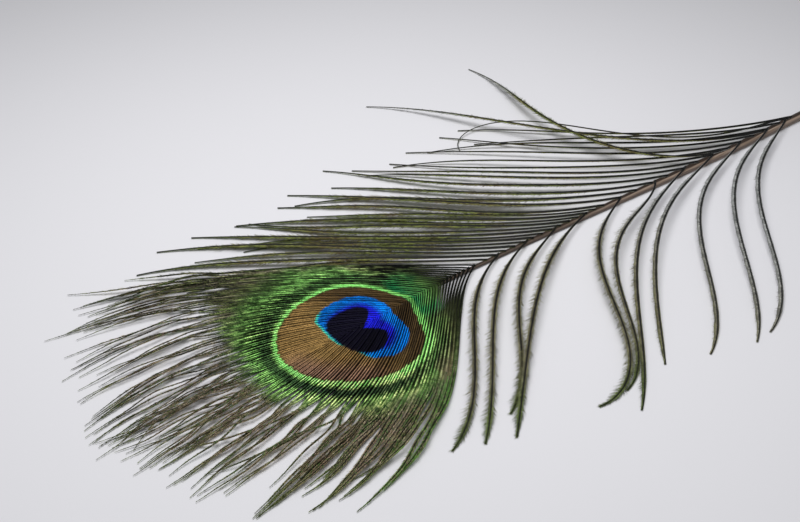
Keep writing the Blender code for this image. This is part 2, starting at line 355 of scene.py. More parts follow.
def eyeRoots():
    firstGap, growth, openCount = eyeVane["openRoots"]
    close = np.linspace(*eyeVane["closeRoots"])
    return np.concatenate([close, close[-1] + np.cumsum(firstGap * growth ** np.arange(openCount))])


def lockFan(number, side):
    return eyeVane["lockFan"] * np.sin(1.9 * number + side)


def eyeLocks(side, stations, share):
    # the line that a lock's barbs draw to, locks in pairs, and how high it rises
    count, start, end = eyeVane["locks"][side]
    number = np.arange(count)
    roots = start + (end - start) * (number + 0.5) / count
    steering = stationAt(stations, roots)
    steering[:, 3] += lockFan(number, side)
    steering[:, 4] *= 1 + 0.05 * np.sin(2.4 * number + side)
    lines = flatRuns(side, roots, steering[:, :4], steering[:, 4], len(share) - 1)
    partner = np.minimum(number // 2 * 2 + 1 - number % 2, count - 1)
    lines += eyeVane["pairing"] * (lines[partner] - lines) * smoothStep(0.45, 0.9, share)[None, :, None]
    return lines, 1 + 0.35 * np.sin(3.1 * number)


def eyeBarbs(side, stations):
    look = eyeVane
    roots = eyeRoots()
    count, steps = len(roots), look["steps"]
    share = np.linspace(0, 1, steps + 1)
    steering = stationAt(stations, roots)
    lockLines, lockLift = eyeLocks(side, stations, share)
    lockCount, lockStart, lockEnd = look["locks"][side]
    mine = (roots - lockStart) / (lockEnd - lockStart) * lockCount - 0.5
    mine = np.clip(np.round(mine + dice.normal(0, look["mixing"], count)), 0, lockCount - 1).astype(int)

    # some barbs are shorter, and a few turn away once they have left the web
    cut = dice.triangular(*look["cut"], count)[:, None]
    own = shortened(flatRuns(side, roots, steering[:, :4], steering[:, 4], steps), cut)
    rebel = dice.random(count) < look["rebels"]
    steering[:, 3] += (lockFan(mine, side) + dice.normal(0, look["restless"], count)
                       + rebel * dice.normal(0, look["rebelTurn"], count))
    turned = shortened(flatRuns(side, roots, steering[:, :4], steering[:, 4], steps), cut)
    gone = lengthAlong(own)

    # how closed the web is at each point
    beyond = pastWeb(own[..., 0], own[..., 1]) + dice.normal(0, look["raggedEdge"], count)[:, None]
    if side < 0:
        beyond -= look["nearReach"] * smoothStep(19, 24, roots)[:, None] * smoothStep(20, 26, gone)
    closed = smoothStep(*look["opening"], beyond) * smoothStep(1, 0.9, share)
    outward = np.maximum.accumulate(np.where(share > 0.25, beyond, -9), axis=1)

    # where it opens, barbs draw together into locks, sway, and meet at the lock's end
    firmness = 0.35 + 0.65 * smoothStep(-4, 14, roots)
    pull = np.where(rebel, 0.1, look["gather"] * dice.uniform(0.6, 1.0, count) * firmness)[:, None]
    pull *= 1 if side < 0 else look["farGather"]
    draw = smoothStep(0, look["gatherOver"], outward) * pull
    draw += (1 - rebel[:, None]) * (pull - draw) * smoothStep(0.7, 1, share) * (outward > 0)
    line = own + (turned - own) * smoothStep(0, look["turnOver"], outward)[..., None]
    normal = acrossFlat(own)
    turns = dice.uniform(*look["swayTurns"], count)[:, None]
    sway = np.sin(share * turns + dice.uniform(0, math.tau, count)[:, None])
    sway += 0.3 * np.sin(share * dice.uniform(*look["rippleTurns"], count)[:, None])
    sway *= look["sway"] * smoothStep(0, look["swayOver"], outward)
    sway *= 1 - 0.6 * smoothStep(0.6, 1, share)
    flat = line + (shortened(lockLines[mine], cut) - line) * draw[..., None] + normal * sway[..., None]
    flat[:, 0, 1] -= 0.3 * side  # both sides start across the shaft's middle, so no seam stays open

    # in the web a vane fills half the distance to its neighbours; a free barb is slimmer
    gap = own[1:] - own[:-1]
    apart = np.abs(gap[..., 0] * normal[:-1, :, 0] + gap[..., 1] * normal[:-1, :, 1])
    apart = np.concatenate([apart[:1], 0.5 * (apart[:-1] + apart[1:]), apart[-1:]])
    half = 0.5 * np.clip(apart, *look["widest"]) * look["overlap"]
    slim = (1 - 0.4 * share) * smoothStep(1.06, 0.82, share) * (1 - 0.25 * smoothStep(8, -6, roots)[:, None])
    backness = smoothStep(*look["backRoots"][side], roots)[:, None]
    if side < 0:  # close to the shaft the last barbs are bare
        grown = 1 - smoothStep(24, 34, roots)[:, None] * smoothStep(26, 4, gone)
    else:
        grown = 1 - 0.85 * smoothStep(26, 42, roots)[:, None] * smoothStep(20, 3, gone)
    ramus = look["ramus"] * slim * (1 - 0.5 * closed) * (1 + 0.6 * backness)
    vane = (half * closed + (look["strandVane"] + look["backVane"] * backness) * slim * (1 - closed)) * grown
    free = (look["barbuleLength"] + look["backLength"] * backness) * slim * grown

    # the web lies level, and the strands rise a little and come down to the table
    out = np.argmax(outward > 0, axis=1) / steps
    past = np.clip((share[None] - out[:, None]) / (1 - out[:, None]), 0, 1)
    rise = look["strandRise"] * lockLift[mine] + dice.normal(0, 0.3, count)
    start = look["webHeight"] + 0.10 * np.sin(np.arange(count) * 2.1)
    start += (shaftTop(roots) + 0.05 - start) * smoothStep(24, 33, roots)
    z = start[:, None] + (0.35 - start[:, None]) * past + rise[:, None] * np.sin(math.pi * past)**1.5
    z += dice.uniform(0, 0.8, count)[:, None] * smoothStep(0.1, 0.6, past) * (1 - past)
    runs = np.concatenate([flat, np.clip(z, 0.25, 5.6)[..., None]], 2)
    return {"runs": runs, "ramus": ramus, "rightVane": vane, "leftVane": vane, "tilt": 0.14 * side,
            "closed": closed, "free": free, "tone": dice.uniform(0, 1, count),
            "number": np.arange(count) + 100.0 * side}


def dressEye(plan):
    look = eyeVane
    share = np.linspace(0, 1, plan["runs"].shape[1])

    def barbule(reach, barb, hand):
        inWeb = smoothStep(0.35, 0.75, np.interp(reach, share, plan["closed"][barb]))
        widest = np.interp(reach, share, plan["leftVane"][barb])
        free = 0.05 + np.interp(reach, share, plan["free"][barb])
        length = np.where(reach < 0.015, 0, free + (widest * 1.05 - free) * inWeb)
        width = look["barbuleWidth"] * dice.uniform(0.6, 1.5, len(reach))
        angle, lift = [free + more * inWeb for free, more in (look["barbuleAngle"], look["barbuleLift"])]
        return length, width, angle, lift

    return [ribbonChunk(plan), fringe(plan, look["barbuleSpacing"], look["clumping"], barbule)]


# the loose barbs behind the eye
freeVane = {
    "farRoots": (45, 186, 20),
    "betweenFar": 7,  # slimmer barbs between the main ones on the far side, the ones by the eye
    "betweenSlim": 0.8,
    "steps": 60,
    "rise": {-1: 2.6, 1: 1.0},
    "strayRise": 2.95,
    "straySlim": 0.8,
    "strayFullness": (4.0, 3.2, 0.8),  # the hooked one is nearly bare
    "farSway": 1.8,
    "ramus": {-1: 0.33, 1: 0.46},
    "barbuleSpacing": {-1: 0.22, 1: 0.2},
    "barbuleWidth": {-1: 0.24, 1: 0.28},
    "barbuleLength": {-1: 2.25, 1: 2.3},
    "distal": (44, 0.0),  # angle and lift of the barbules that face the feather's end
    "proximal": (38, -0.12),  # and of those that face the quill
    "clumping": 0.15,
    "vaneShare": (0.2, 0.45),  # share of the barbules' length closed to a vane, by the eye and behind
}


def freeRuns(side, roots, steering, lengths, rise, sway=0.0):
    # a free barb springs from the top of the shaft and sways a little more towards its end
    steps = freeVane["steps"]
    share = np.linspace(0, 1, steps + 1)
    flat = flatRuns(side, roots, steering, lengths, steps)
    waves = np.sin(share * (6 + 2 * np.sin(2.2 * roots))[:, None] + 3.0 * roots[:, None])
    flat += acrossFlat(flat) * (sway * waves * share**1.5)[..., None]
    flat[:, 0, 1] -= 0.2 * side
    start = shaftTop(roots) + 0.02
    z = start[:, None] + (0.3 - start[:, None]) * share + rise[:, None] * np.sin(math.pi * share)**1.5
    return np.concatenate([flat, z[..., None]], 2)


def freeBarbs(side, roots, runs, slimness, firstNumber):
    # close to the shaft a barb is bare, and further back the barbules are shorter
    look = freeVane
    gone = lengthAlong(runs)
    share = gone / gone[:, -1:]
    if side < 0:
        grown = smoothStep(5, 26, gone)
        proximal = 0.3 + 0.45 * smoothStep(125, 95, roots)
        taper = 1 - 0.7 * smoothStep(0.9, 1, share)
        taper *= 1 - 0.3 * smoothStep(100, 160, roots)[:, None]
    else:
        grown = 0.15 + 0.85 * smoothStep(8, 40, gone)
        grown *= 1 - 0.7 * smoothStep(100, 150, roots)[:, None]
        proximal = np.full(len(roots), 0.9)
        taper = 1 - 0.9 * smoothStep(0.72, 1, share)
    ripple = 1 + 0.08 * np.sin(gone * 0.9 + roots[:, None]) + 0.06 * np.sin(gone * 2.3 + 2 * roots[:, None])
    full = 0.06 + look["barbuleLength"][side] * grown * taper * slimness[:, None] * ripple
    front, back = look["vaneShare"]
    distalVane = full * (front + (back - front) * smoothStep(100, 160, roots) * (side < 0))[:, None]
    proximalVane = distalVane * proximal[:, None]
    ramus = look["ramus"][side] * slimness[:, None] * (1 - 0.6 * share)
    rightVane, leftVane = (proximalVane, distalVane)[::side]
    return {"runs": runs, "ramus": ramus, "rightVane": rightVane, "leftVane": leftVane, "tilt": 0.0,
            "side": side, "full": full, "proximal": proximal,
            "tone": dice.uniform(0, 1, len(runs)), "number": firstNumber + np.arange(len(runs)) * 1.0}


def dressFree(plan):
    look, side = freeVane, plan["side"]
    share = np.linspace(0, 1, plan["runs"].shape[1])

    def barbule(reach, barb, hand):
        distal = hand == side
        length = np.interp(reach, share, plan["full"][barb]) * (1 if distal else plan["proximal"][barb])
        length = np.where(length < 0.14, 0, length * 1.2)
        width = look["barbuleWidth"][side] * dice.uniform(0.6, 1.4, len(reach))
        return length, width, *look["distal" if distal else "proximal"]

    return [ribbonChunk(plan), fringe(plan, look["barbuleSpacing"][side], look["clumping"], barbule)]


def nearFree():
    rows = nearBarbs[nearBarbs[:, 0] > eyeVane["locks"][-1][2]]
    number = np.arange(len(nearBarbs) - 1)[-len(rows):]
    rise = freeVane["rise"][-1] * (1 + 0.3 * np.sin(3.1 * number))
    runs = freeRuns(-1, rows[:, 0], rows[:, 1:5], rows[:, 5], rise)
    return freeBarbs(-1, rows[:, 0], runs, np.ones(len(rows)), 300)


def farFree():
    look = freeVane
    first, last, count = look["farRoots"]
    number = np.concatenate([np.arange(count), np.arange(look["betweenFar"]) - 0.5])
    between = np.arange(len(number)) >= count
    roots = first + (last - first) * (number + 0.7) / count
    steering = stationAt(farBarbs, roots)
    steering[:, 2] += 6 * np.sin(1.3 * number)
    steering[:, 3] += 9 * np.sin(2.1 * number)
    lengths = steering[:, 4] * (1 + 0.05 * np.sin(2.7 * number))
    lengths *= np.where(between, dice.uniform(0.8, 0.97, len(number)), 1)
    rise = look["rise"][1] * (1 + 0.3 * np.sin(1.9 * number)) * np.where(between, 0.6, 1)
    runs = freeRuns(1, roots, steering[:, :4], lengths, rise, look["farSway"])
    order = np.argsort(roots)
    slimness = np.where(between, look["betweenSlim"], 1.0)
    return freeBarbs(1, roots[order], runs[order], slimness[order], 400)


def strayFree():
    roots = strayBarbs[:, 0]
    rise = freeVane["strayRise"] * (1.2 + 0.1 * np.arange(len(roots)))
    runs = freeRuns(1, roots, strayBarbs[:, 1:5], strayBarbs[:, 5], rise)
    plan = freeBarbs(1, roots, runs, np.full(len(roots), freeVane["straySlim"]), 500)
    for part in ("full", "leftVane", "rightVane"):
        plan[part] *= np.array(freeVane["strayFullness"])[:, None]
    return plan


nearPlan, farPlan, farFreePlan = eyeBarbs(-1, nearBarbs), eyeBarbs(1, farBarbs), farFree()
tipBarbs, frontBarbs = 33, 20  # how many go in the first of two pieces, at the eye and behind it
eyePieces = [
    meshPiece("near_eye_barbs_tip", dressEye(someOf(nearPlan, 0, tipBarbs))),
    meshPiece("near_eye_barbs_back", dressEye(someOf(nearPlan, tipBarbs, None))),
    meshPiece("far_eye_barbs_tip", dressEye(someOf(farPlan, 0, tipBarbs))),
    meshPiece("far_eye_barbs_back", dressEye(someOf(farPlan, tipBarbs, None))),
]
freePieces = [
    meshPiece("near_free_barbs", dressFree(nearFree())),
    meshPiece("far_free_barbs_front", dressFree(someOf(farFreePlan, 0, frontBarbs))),
    meshPiece("far_free_barbs_back", dressFree(someOf(farFreePlan, frontBarbs, None))),
    meshPiece("stray_barbs", dressFree(strayFree())),
]


shaftLook = {
    "ends": (-10.5, 232),
    "sides": 14,
    "stations": 48,
    "flatUnder": 0.62,
    "sunk": (33, 25),  # from here to here it sinks between the barbs of the eye
    "sunkTop": 0.5,
    "tip": 0.25,  # what is left of its section at the very tip
}


def makeShaft():
    look = shaftLook
    tip, butt = look["ends"]
    bpy.ops.object.select_all(action="DESELECT")
    bpy.ops.mesh.primitive_circle_add(vertices=look["sides"], radius=0.5, fill_type="NGON",
                                      location=(0, 0, 0), rotation=(0, math.radians(90), 0))
    shaft = bpy.context.object
    shaft.name = "shaft"
    bpy.ops.object.transform_apply(location=True, rotation=True, scale=True)
    bpy.ops.object.mode_set(mode="EDIT")
    bpy.ops.mesh.select_all(action="SELECT")
    for station in range(look["stations"]):
        bpy.ops.mesh.extrude_region_move(TRANSFORM_OT_translate={"value": (-1, 0, 0)})
    bpy.ops.object.mode_set(mode="OBJECT")
    co = np.array([p.co for p in shaft.data.vertices])
    place = np.round(-co[:, 0])
    at = butt - (butt - tip) * place / look["stations"]
    width, under = shaftAt(at, "width"), shaftAt(at, "under")
    # the underside is flat and the back is a low arch
    y, z = co[:, 1] * 2, co[:, 2] * 2
    z = (np.maximum(z, -look["flatUnder"]) + look["flatUnder"]) / (1 + look["flatUnder"])
    sunk = smoothStep(*look["sunk"], at)
    tall = shaftHeight * width * (1 - sunk) + (look["sunkTop"] - under) * sunk
    end = np.where(place >= look["stations"], look["tip"], 1.0)
    out = np.stack([at, shaftAt(at, "y") + 0.5 * width * y * end, under + tall * z * end], -1) * mm
    fill(shaft.data.vertices, "co", out)
    fill(shaft.data.attributes.new("across", "FLOAT", "POINT").data, "value", y)
    shaft.data.update()
    bpy.ops.object.mode_set(mode="EDIT")
    bpy.ops.mesh.select_all(action="SELECT")
    bpy.ops.mesh.normals_make_consistent(inside=False)
    bpy.ops.object.mode_set(mode="OBJECT")
    bpy.ops.object.shade_smooth_by_angle(angle=math.radians(50))
    return shaft


shaft = makeShaft()
print("shaft", len(shaft.data.polygons), "faces")


class Signal:
    # a node's output; sums and products of signals become nodes of their own
    def __init__(self, socket):
        self.socket = socket
        self.tree = socket.id_data

    def __add__(self, other):
        return maths("ADD", self, other)

    def __radd__(self, other):
        return maths("ADD", other, self)

    def __sub__(self, other):
        return maths("SUBTRACT", self, other)

    def __rsub__(self, other):
        return maths("SUBTRACT", other, self)

    def __mul__(self, other):
        return maths("MULTIPLY", self, other)

    def __abs__(self):
        return maths("ABSOLUTE", self)


def wire(socket, value):
    if isinstance(value, Signal):
        socket.id_data.links.new(value.socket, socket)
    else:
        socket.default_value = value


def place(tree, kind, inputs, output=0, **settings):
    # a node fed with signals or plain values, and one of its outputs
    node = tree.nodes.new("ShaderNode" + kind)
    for label, value in settings.items():
        setattr(node, label, value)
    for label, value in inputs.items():
        wire(node.inputs[label], value)
    return Signal(node.outputs[output])


def treeOf(*values):
    return next(v.tree for v in values if isinstance(v, Signal))


def maths(operation, *values):
    return place(treeOf(*values), "Math", dict(enumerate(values)), operation=operation)


def fade(value, low, high):
    # 0 at low, 1 at high, eased
    return place(value.tree, "MapRange", {"Value": value, "From Min": low, "From Max": high},
                 interpolation_type="SMOOTHSTEP")


def blend(share, a, b, kind="MIX"):
    colours = [c if isinstance(c, Signal) else (*c, 1) for c in (a, b)]
    return place(treeOf(share, a, b), "Mix", {"Factor": share, 6: colours[0], 7: colours[1]}, 2,
                 data_type="RGBA", blend_type=kind)


def noiseAt(vector, scale, detail=2.0):
    return place(vector.tree, "TexNoise", {"Vector": vector, "Scale": scale, "Detail": detail}, "Fac")


def scaled(vector, factors):
    return place(vector.tree, "VectorMath", {0: vector, 1: factors}, operation="MULTIPLY")


def inMillimetres(position):
    return scaled(position, (1 / mm, 1 / mm, 1 / mm))


def parted(vector):
    first = place(vector.tree, "SeparateXYZ", {0: vector})
    return [Signal(output) for output in first.socket.node.outputs]


def shaded(colour, light):
    # the colour, lighter or darker
    grey = place(colour.tree, "CombineColor", {0: light, 1: light, 2: light})
    return blend(1.0, colour, grey, "MULTIPLY")


def positionIn(tree):
    return place(tree, "TexCoord", {}, "Object")


def attributeOf(tree, name, output="Fac"):
    return place(tree, "Attribute", {}, output, attribute_name=name)


def newMaterial(name, roughness, specular, metal=0.0):
    material = bpy.data.materials.new(name)
    material.use_nodes = True
    surface = material.node_tree.nodes["Principled BSDF"].inputs
    surface["Roughness"].default_value = roughness
    surface["Specular IOR Level"].default_value = specular
    surface["Metallic"].default_value = metal
    return material, surface


def ridged(surface, height, strength, distance):
    bump = {"Strength": strength, "Distance": distance, "Height": height}
    wire(surface["Normal"], place(height.tree, "Bump", bump))


def newGroup(name, inputs, outputs):
    tree = bpy.data.node_groups.new(name, "ShaderNodeTree")
    for sockets, direction in ((inputs, "INPUT"), (outputs, "OUTPUT")):
        for label, kind in sockets.items():
            tree.interface.new_socket(label, in_out=direction, socket_type="NodeSocket" + kind)
    given = tree.nodes.new("NodeGroupInput").outputs
    return tree, {label: Signal(given[label]) for label in inputs}, tree.nodes.new("NodeGroupOutput").inputs


def placeGroup(tree, group, inputs):
    first = place(tree, "Group", inputs, node_tree=group)
    return {output.name: Signal(output) for output in first.socket.node.outputs}


def byDirection(x, y, middle, marks, largest):
    # a value that changes with the direction from the middle: marks are (degrees, value)
    turn = maths("DIVIDE", maths("ARCTAN2", y - middle[1], x - middle[0]), math.tau) + 0.5
    value = place(x.tree, "FloatCurve", {"Value": turn})
    marks = [((d + 180) / 360, r / largest) for d, r in marks]
    first, last = marks[0], marks[-1]
    seam = (first[1] * (1 - last[0]) + last[1] * first[0]) / (first[0] + 1 - last[0])
    marks = [(0.0, seam)] + marks + [(1.0, seam)]
    mapping = value.socket.node.mapping
    points = mapping.curves[0].points
    while len(points) < len(marks):
        points.new(0.5, 0.5)
    for point, mark in zip(points, marks):
        point.location = mark
        point.handle_type = "AUTO"
    mapping.update()
    return value * largest


def inside(x, y, middle, radii):
    # how far inside a closed outline a point is
    dx, dy = x - middle[0], y - middle[1]
    return byDirection(x, y, middle, radii, largestRadius) - maths("SQRT", dx * dx + dy * dy)


eyeColours = {
    "goldBronze": (0.325, 0.20, 0.067), "roseBronze": (0.35, 0.20, 0.13), "darkBronze": (0.075, 0.046, 0.018),
    "rimBlue": (0.001, 0.26, 0.95), "deepBlue": (0.015, 0.018, 0.80), "turquoise": (0.06, 0.62, 0.45),
    "pupil": (0.004, 0.003, 0.013), "ringGreen": (0.27, 0.85, 0.19), "limeGreen": (0.85, 1.0, 0.38),
    "bandGreen": (0.25, 0.61, 0.14), "darkGreen": (0.02, 0.055, 0.025), "emerald": (0.03, 0.42, 0.13),
    "olive": (0.33, 0.28, 0.145), "brown": (0.31, 0.225, 0.135), "pale": (0.57, 0.48, 0.37),
    "tipGreen": (0.19, 0.27, 0.07), "darkOlive": (0.06, 0.075, 0.03), "strandGreen": (0.17, 0.36, 0.10),
    "streakGreen": (0.30, 0.40, 0.12), "lockGreen": (0.17, 0.40, 0.08),
}
parallax = (0.55, 0.9)  # the web lies above the table, so the outlines read off it are set back, mm
discMiddle, blueMiddle, pupilMiddle = (-0.6, 0.7), (3.2, 0.6), (0.5, 0.5)
largestRadius = 30.0

# (degrees, mm from the outline's middle)
discOutline = [
    (-178, 19.7), (-165, 19.3), (-150, 18.6), (-135, 18.0), (-118, 17.9), (-100, 18.2), (-82, 18.5),
    (-65, 18.8), (-50, 18.8), (-35, 18.0), (-20, 17.6), (-6, 18.2), (6, 19.6), (20, 18.7), (35, 18.9),
    (50, 19.2), (65, 19.3), (80, 18.9), (95, 18.6), (115, 18.6), (135, 19.0), (155, 19.6), (170, 20.0)]
blueOutline = [
    (-175, 9.6), (-160, 8.9), (-145, 9.2), (-130, 10.6), (-118, 11.9), (-105, 12.6), (-90, 13.3), (-75, 12.9),
    (-60, 12.2), (-45, 11.4), (-30, 10.2), (-15, 9.5), (0, 9.1), (10, 9.9), (25, 10.9), (40, 12.0),
    (55, 13.0), (70, 13.4), (90, 13.3), (105, 13.4), (120, 13.6), (130, 13.4), (142, 11.8), (155, 10.6),
    (170, 9.9)]
pupilOutline = [
    (-175, 6.3), (-155, 6.6), (-135, 7.4), (-115, 8.5), (-95, 9.2), (-80, 9.2), (-65, 8.8), (-50, 8.2),
    (-38, 7.7), (-28, 6.2), (-15, 3.6), (0, 2.4), (15, 3.4), (28, 6.8), (38, 9.6), (50, 10.0), (62, 9.7),
    (78, 9.2), (95, 8.9), (115, 8.6), (135, 8.0), (155, 7.0), (172, 6.4)]
# round the disc, by direction: how wide the bright rim is, how far the green reaches past the disc, mm,
# and how strong the dark band and the lime band are
rimWidth = [
    (-160, 1.3), (-135, 1.9), (-100, 2.1), (-60, 2.0), (-25, 1.6), (10, 1.2), (60, 1.1), (110, 1.0),
    (160, 0.9)]
greenWidth = [
    (-175, 8), (-150, 8.5), (-115, 9), (-90, 8), (-72, 5), (-50, 3), (-25, 2.5), (-5, 5.5), (15, 7.5),
    (35, 4), (55, 5), (75, 8), (100, 12), (130, 12), (150, 10), (170, 8.5)]
darkShare = [
    (-178, 0.85), (-150, 0.95), (-105, 0.92), (-85, 0.75), (-60, 0.5), (-30, 0.4), (0, 0.15), (30, 0.35),
    (60, 0.75), (100, 0.65), (130, 0.65), (160, 0.8)]
limeShare = [
    (-178, 0.1), (-160, 0.35), (-145, 0.8), (-110, 1), (-90, 0.8), (-70, 0.45), (-45, 0.2), (-20, 0.1),
    (30, 0.05), (80, 0.05), (115, 0.2), (140, 0.3), (160, 0.12)]


def makeFlecks():
    # light and dark dashes along each barb, broader clumps, and fine ribs across it for the bump
    tree, given, put = newGroup("barbuleFlecks", {"Strand": "Vector"},
                                {"Flecks": "Float", "Ribs": "Float", "Clumps": "Float"})
    strand = given["Strand"]
    along, number, across = parted(strand)
    slant = along + abs(across)
    leant = place(tree, "CombineXYZ", {0: slant, 1: number, 2: across})
    dashes = noiseAt(scaled(strand, (0.45, 3.0, 0.9)), 1.0)
    bars = noiseAt(scaled(leant, (2.3, 3.0, 0.7)), 1.0, 1)
    wire(put["Flecks"], fade(dashes * 0.6 + bars * 0.4, 0.36, 0.62))
    wire(put["Ribs"], maths("SINE", slant * 28.0))
    wire(put["Clumps"], fade(noiseAt(scaled(strand, (0.17, 0.3, 0.5)), 1.0), 0.40, 0.58))
    return tree


def bronzeColour(on):
    # gold, rosy towards the rim on the near side, dark on the quill's side
    c = eyeColours
    rosy = fade(on.y, 7, -5) * fade(on.disc, 9, 2) * fade(on.x, 2, -8)
    bronze = blend(rosy, c["goldBronze"], c["roseBronze"])
    bronze = blend(fade(on.x + abs(on.y) * 0.42, -2, 15), bronze, c["darkBronze"])
    bronze = blend(fade(on.disc, 1.0, 0.2) * 0.45, bronze, c["darkBronze"])
    return shaded(bronze, 0.78 + on.flecks * 0.4)


def strandColour(on):
    # the barbs where the green has ended: olive or brown
    c = eyeColours
    olive = blend(fade(on.patches, -0.1, 0.1), c["olive"], c["brown"])
    # a few barbs stay green to the end, most of them in a stream below the disc
    stream = fade(abs(on.x + 14 + on.y * 0.55), 9, 3) * fade(on.y, -12, -20)
    glint = fade(on.tone - stream * 0.5, 0.28, 0.16)
    olive = blend(glint * 0.85, olive, c["strandGreen"])
    # the long barbs above the disc are dark with yellow-green streaks
    streak = blend(on.flecks, c["darkOlive"], c["streakGreen"])
    olive = blend(fade(on.y, 14, 25) * fade(on.x, -42, -20) * 0.75, olive, streak)
    olive = blend(fade(on.tone, 0.5, 0.95) * 0.6, olive, c["pale"])
    olive = blend(fade(on.reach, 0.8, 0.98) * 0.8, olive, c["tipGreen"])
    # behind the disc they are streaked too, and darkest by the shaft
    olive = blend(fade(on.x, 8, 20) * fade(on.reach, 0.75, 0.45) * 0.8, olive, streak)
    olive = blend(fade(on.x, 17, 25) * fade(on.reach, 0.6, 0.3) * 0.85, olive, c["darkOlive"])
    # the outermost lock on the near side has green barbs among the olive ones
    outermost = fade(on.y - on.x * 0.42, -28, -34) * fade(on.x, 12, 2)
    greenLock = outermost * fade(on.tone, 0.9, 0.5) * (0.2 + on.flecks * 0.7)
    return blend(greenLock, olive, c["lockGreen"])


def webColour(on):
    # outside the disc, from the rim outwards: a bright ring, a dark band, green, then the strands
    c = eyeColours
    edge = {name: byDirection(on.x, on.y, discMiddle, marks, largest) for name, marks, largest in (
        ("rim", rimWidth, 3), ("green", greenWidth, 20), ("dark", darkShare, 1), ("lime", limeShare, 1))}
    faded = fade(on.outside - (edge["green"] + on.patches * 11.0), -3, 6)
    lime = on.flecks * edge["lime"] * fade(on.patches + on.uneven * 0.3, -0.22, 0.12)
    ground = blend(faded, blend(lime, c["bandGreen"], c["limeGreen"]), strandColour(on))
    away = on.outside - edge["rim"]
    dark = fade(away, 0.2, 1.3) * fade(away, 5.0, 2.6) * edge["dark"]
    ground = blend(dark, ground, c["darkGreen"])
    wedge = fade(on.x, 16.5, 18.5) * fade(on.x + on.patches * 14.0, 27, 19) * fade(abs(on.y - 3.5), 12, 6)
    ground = blend(wedge, ground, c["emerald"])
    sparkle = blend(on.flecks * edge["lime"] * 0.8, c["ringGreen"], c["limeGreen"])
    ring = fade(on.outside, -0.1, 0.2) * fade(away, 0.5, -0.3)
    ground = blend(ring, ground, sparkle)

    # by the shaft behind the disc the web is evenly striped by its barbs, elsewhere it is mottled
    even = fade(on.x, 9, 17) * fade(on.y, 14, 7)
    broken = 1.0 - even * 0.75
    rough = (1.05 - ring * 0.6) * (1.0 - faded * 0.4) * broken
    mottle = 1.3 - (1.0 - on.flecks) * rough - even * 0.3
    farness = 0.3 + fade(on.y, -8, 12) * 0.5
    clumps = (1.0 - on.clumps) * farness * broken * (1.0 - ring * 0.8)
    clumped = 1.15 - fade(on.x, 12, 21) * 0.42 - clumps
    return shaded(ground, mottle * clumped)


def blueColour(on):
    c = eyeColours
    blue = blend(fade(on.blue, 2.0, 4.8), c["rimBlue"], c["deepBlue"])
    blue = shaded(blue, (0.72 + on.flecks * 0.5) * (1.0 - fade(on.y, 1, 9) * 0.42))
    return blend(fade(on.blue, 1.2, 0.3) * fade(on.x, -1.5, -4), blue, c["turquoise"])


def makeEyePattern():
    tree, given, put = newGroup(
        "eyePattern",
        {"Position": "Vector", "Reach": "Float", "Tone": "Float", "Flecks": "Float", "Clumps": "Float"},
        {"Color": "Color", "Eye": "Float", "Disc": "Float"})
    at = inMillimetres(given["Position"])
    x, y = [value + back for value, back in zip(parted(at), parallax)]
    uneven = given["Tone"] - 0.5
    wobble = (noiseAt(at, 1.8, 3) - 0.5) * 1.1 + uneven * 0.5
    disc = inside(x, y, discMiddle, discOutline) + wobble
    blue = inside(x, y, blueMiddle, blueOutline) + wobble * 0.6
    pupil = inside(x, y, pupilMiddle, pupilOutline) + wobble * 0.7
    outside = disc * -1
    on = SimpleNamespace(
        x=x, y=y, disc=disc, outside=outside, blue=blue, patches=noiseAt(at, 0.16, 3) - 0.5, uneven=uneven,
        reach=given["Reach"], tone=given["Tone"], flecks=given["Flecks"], clumps=given["Clumps"])
    colour = blend(fade(disc, -0.15, 0.25), webColour(on), bronzeColour(on))
    colour = blend(fade(blue, -0.15, 0.3), colour, blueColour(on))
    colour = blend(fade(pupil, -0.4, 0.5), colour, eyeColours["pupil"])
    wire(put["Color"], colour)
    wire(put["Eye"], fade(outside, 12, 5))
    wire(put["Disc"], fade(outside, 1.6, 0.2))
    return tree


looseColours = {
    "silverSheen": (0.46, 0.47, 0.46), "taupe": (0.235, 0.215, 0.135), "moss": (0.15, 0.17, 0.05),
    "brown": (0.195, 0.14, 0.065), "tip": (0.16, 0.21, 0.065), "rim": (0.34, 0.35, 0.13),
    "glint": (0.29, 0.34, 0.09),
}


def makeLooseColour():
    # moss and brown on the far side; taupe with a green edge on the near side, and towards the quill a
    # painted pale grey sheen where barbules catch the light
    c = looseColours
    tree, given, put = newGroup(
        "looseColour", {"Position": "Vector", "Reach": "Float", "Edge": "Float", "Flecks": "Float"},
        {"Color": "Color"})
    at = inMillimetres(given["Position"])
    x, y = parted(at)[:2]
    far = blend(fade(noiseAt(at, 0.09), 0.4, 0.6), c["moss"], c["brown"])
    far = blend(given["Flecks"] * 0.5, far, c["glint"])
    # a patch of painted pale grey sheen on the far side
    far = blend(fade(y, 62, 74) * fade(x, 50, 75) * 0.7, far, c["silverSheen"])
    # towards the quill the near barbs turn to a painted pale grey sheen
    near = blend(fade(x, 60, 120), c["taupe"], c["silverSheen"])
    rim = fade(given["Edge"], 0.4, 0.9) * fade(x, 105, 60) * (0.35 + given["Flecks"] * 0.65)
    near = blend(rim, near, c["rim"])
    colour = blend(fade(y, -3, 1), near, far)
    greener = fade(given["Reach"], 0.74, 0.95) * fade(x, 64, 40)
    wire(put["Color"], blend(greener, colour, c["tip"]))
    return tree


flecksGroup, eyeGroup, looseGroup = makeFlecks(), makeEyePattern(), makeLooseColour()


